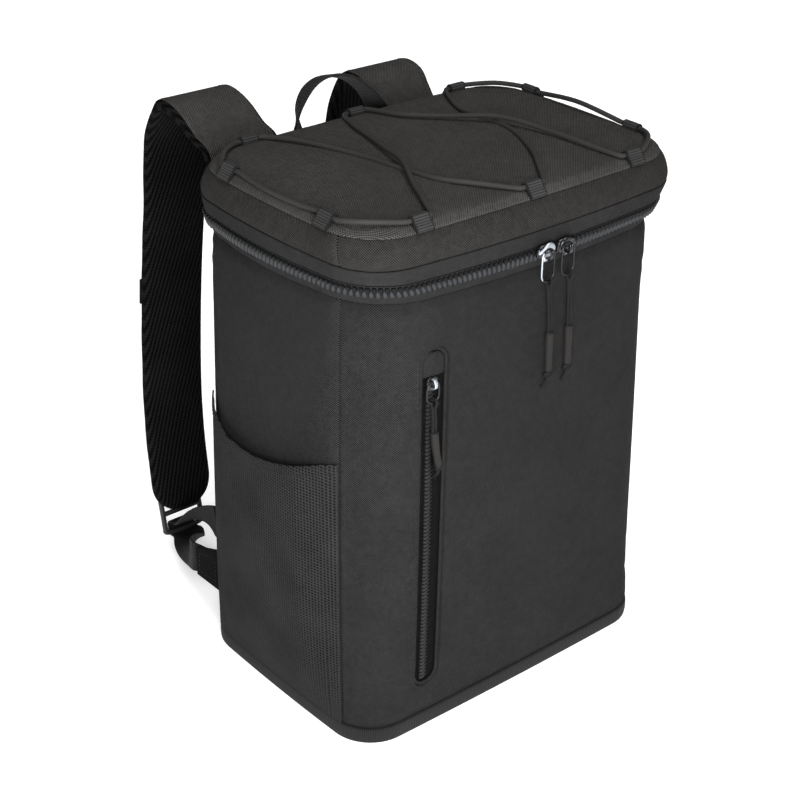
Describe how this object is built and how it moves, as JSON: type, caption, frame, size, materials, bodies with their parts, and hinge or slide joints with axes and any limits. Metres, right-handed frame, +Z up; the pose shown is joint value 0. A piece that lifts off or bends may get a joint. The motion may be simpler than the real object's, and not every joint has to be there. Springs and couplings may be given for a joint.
{
  "type": "cooler backpack",
  "caption": "Insulated box-shaped backpack with a zipped padded lid laced with elastic cord, zipped front pocket, stretch side pockets and padded shoulder straps.",
  "frame": {"origin": "centre of the base, on the surface the bag stands on", "axes": "+Z up from the base to the lid, -Y out of the front wall with the zipped pocket, +X to the right as seen from the front"},
  "size_m": [0.2974, 0.3247, 0.406],
  "materials": {
    "body_fabric": "dark grey twill with a matt coating",
    "strap_padding": "matt black spacer mesh with woven outer face",
    "stretch_knit": "matt stretch knit with a fine hole grid",
    "ribbed_tape": "finely ribbed tape",
    "webbing": "ribbed black webbing, slight sheen",
    "elastic_cord": "braided elastic cord",
    "pull_cord": "thin braided cord",
    "pull_sleeve": "smooth soft sleeve",
    "slider_metal": "dark glossy lacquer with bright edges",
    "zip_teeth": "moulded teeth with a bluish sheen",
    "buckle_plastic": "dark grey moulded plastic"
  },
  "bodies": {
    "root": {"side_panel_left": "body_fabric", "side_panel_right": "body_fabric", "back_panel": "body_fabric", "front_panel": "body_fabric", "base_binding": "ribbed_tape", "base_panel": "body_fabric", "lid_boxing_left": "body_fabric", "lid_boxing_front": "body_fabric", "lid_boxing_right": "body_fabric", "lid_boxing_back": "body_fabric", "lid_top_panel": "body_fabric", "zip_tape_lower": "ribbed_tape", "zip_chain": "zip_teeth", "zip_tape_upper": "ribbed_tape", "lid_hinge": "body_fabric", "zip_slider_left": "slider_metal", "zip_pull_ring_left": "slider_metal", "zip_pull_cord_left": "pull_cord", "zip_pull_sleeve_left": "pull_sleeve", "zip_pull_knot_left": "pull_cord", "zip_slider_right": "slider_metal", "zip_pull_ring_right": "slider_metal", "zip_pull_cord_right": "pull_cord", "zip_pull_sleeve_right": "pull_sleeve", "zip_pull_knot_right": "pull_cord", "front_zip_welt": "body_fabric", "front_zip_tape": "ribbed_tape", "front_zip_chain": "zip_teeth", "front_zip_garage": "body_fabric", "front_zip_slider": "slider_metal", "front_zip_pull_ring": "slider_metal", "front_zip_pull_cord": "pull_cord", "front_zip_pull_sleeve": "pull_sleeve", "front_zip_pull_knot": "pull_cord", "side_pocket_left": "stretch_knit", "side_pocket_right": "stretch_knit", "haul_handle": "webbing", "strap_pad_left": "strap_padding", "strap_keeper_left": "webbing", "strap_buckle_left": "buckle_plastic", "strap_webbing_left": "webbing", "strap_anchor_left": "body_fabric", "strap_pad_right": "strap_padding", "strap_keeper_right": "webbing", "strap_buckle_right": "buckle_plastic", "strap_webbing_right": "webbing", "strap_anchor_right": "body_fabric", "bungee_loop_1": "webbing", "bungee_loop_2": "webbing", "bungee_loop_3": "webbing", "bungee_loop_4": "webbing", "bungee_loop_5": "webbing", "bungee_loop_6": "webbing", "bungee_loop_7": "webbing", "bungee_loop_8": "webbing", "bungee_loop_9": "webbing", "bungee_loop_10": "webbing", "bungee_cord": "elastic_cord"}
  },
  "joints": []
}
